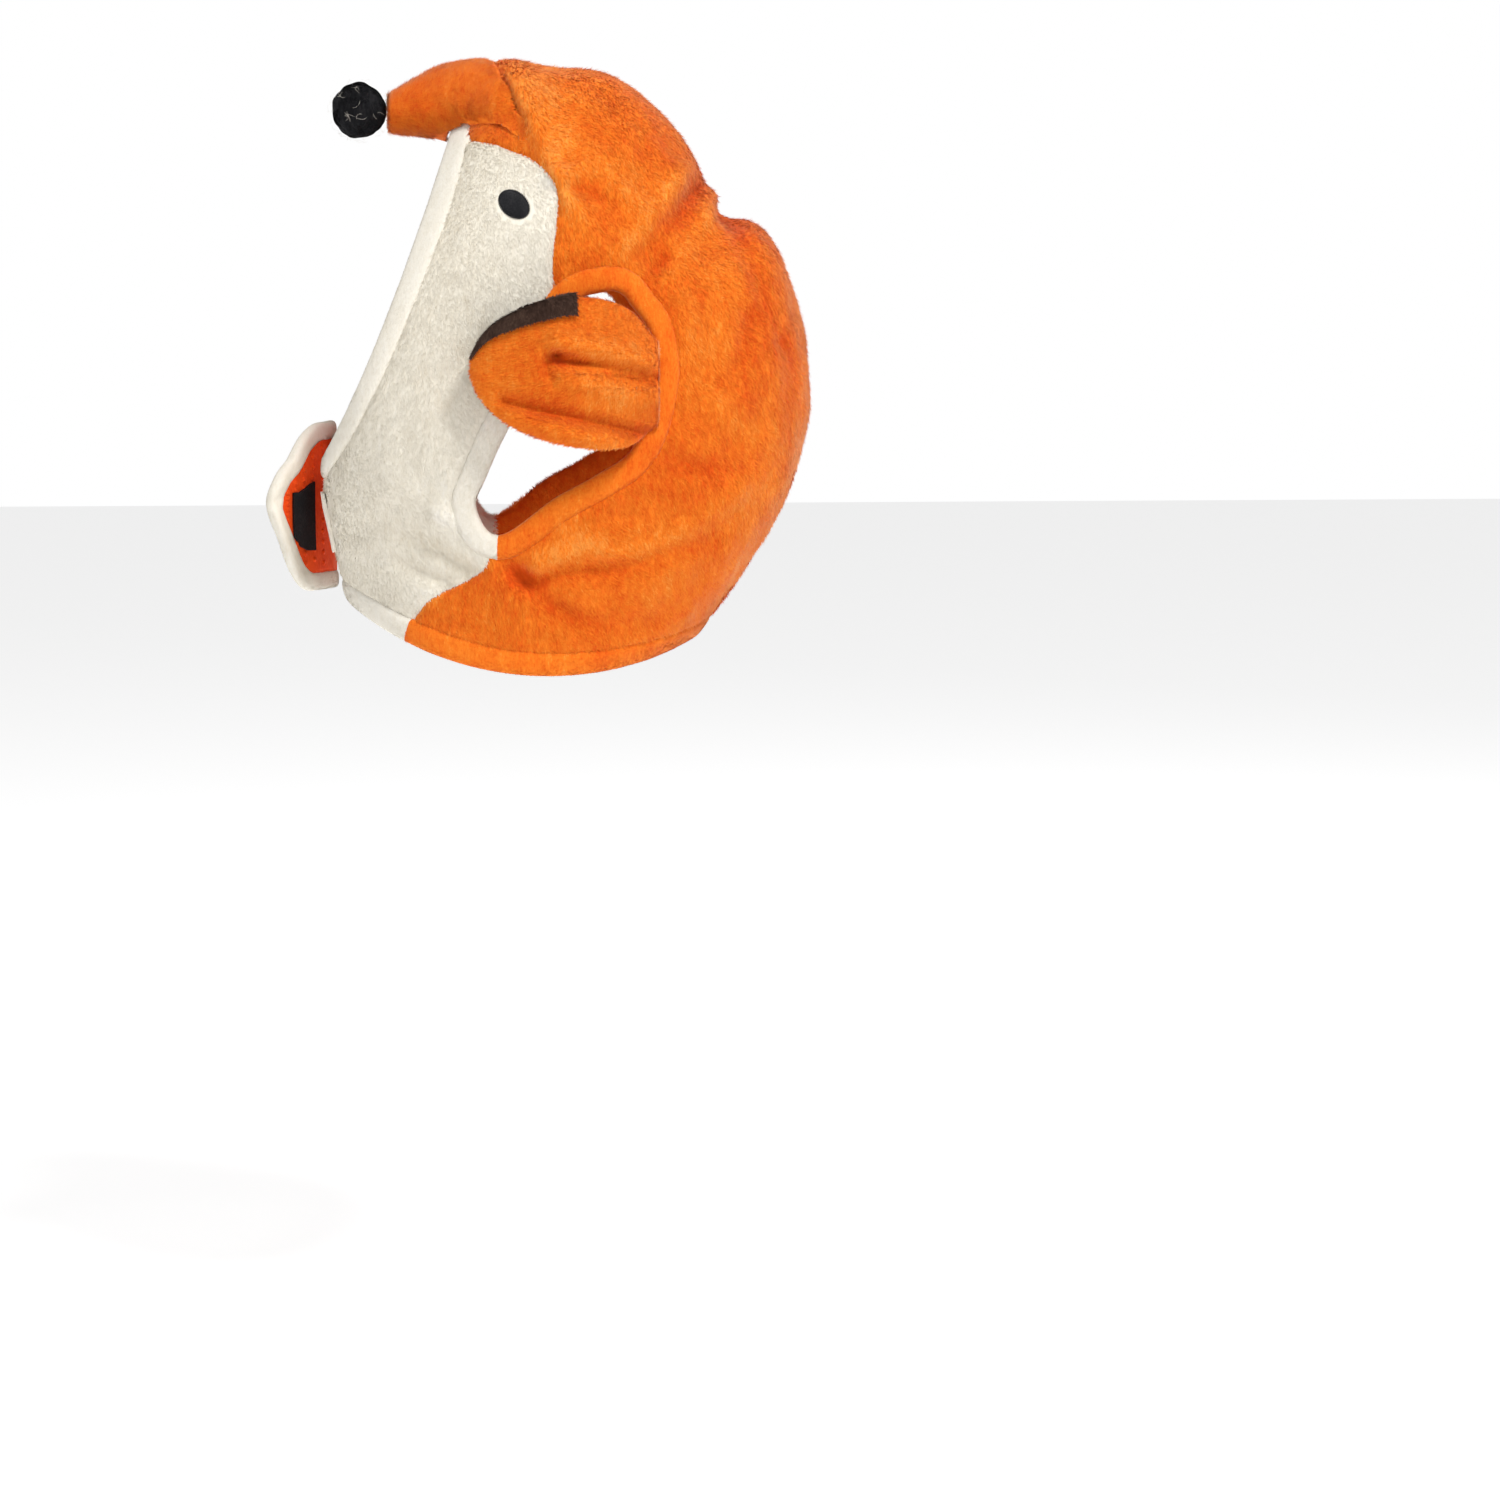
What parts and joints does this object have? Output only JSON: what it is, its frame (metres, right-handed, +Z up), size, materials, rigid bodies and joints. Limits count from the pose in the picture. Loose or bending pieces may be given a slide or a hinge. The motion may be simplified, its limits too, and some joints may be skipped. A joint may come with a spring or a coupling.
{
  "type": "dog hat",
  "caption": "Plush fox-shaped hood for a dog, with a face opening, ear openings with floppy ears, a padded snout with a pompom and a chin closure.",
  "frame": {"origin": "seat: the top of the inside, where the hood rests on a head", "axes": "+Z up, the face opening looks along -Y, +X towards the dog's left side"},
  "size_m": [0.1756, 0.2296, 0.253],
  "materials": {
    "orange_plush": "short plush",
    "orange_lining": "dotted plush",
    "cream_plush": "short plush",
    "brown_plush": "short plush",
    "black_felt": "felted",
    "black_thread": "satin stitch",
    "hook_tape": "hook tape",
    "loop_tape": "loop tape"
  },
  "bodies": {
    "root": {"crown_left": "orange_plush", "crown_right": "orange_plush", "cheek_left": "cream_plush", "cheek_right": "cream_plush", "lining_left": "orange_lining", "lining_right": "orange_lining", "face_hem": "cream_plush", "neck_hem_left": "cream_plush", "neck_hem_right": "cream_plush", "neck_hem_rear": "orange_plush", "ear_hem_front_left": "cream_plush", "ear_hem_front_right": "cream_plush", "ear_hem_rear_left": "orange_plush", "ear_hem_rear_right": "orange_plush", "ear_left": "orange_plush", "ear_right": "orange_plush", "ear_tip_left": "brown_plush", "ear_tip_right": "brown_plush", "eye_left": "black_thread", "eye_right": "black_thread", "snout": "orange_plush", "nose_pompom": "black_felt", "chin_flap": "cream_plush", "chin_flap_lining": "orange_lining", "chin_flap_hem": "cream_plush", "hook_patch": "hook_tape", "loop_patch": "loop_tape"}
  },
  "joints": []
}
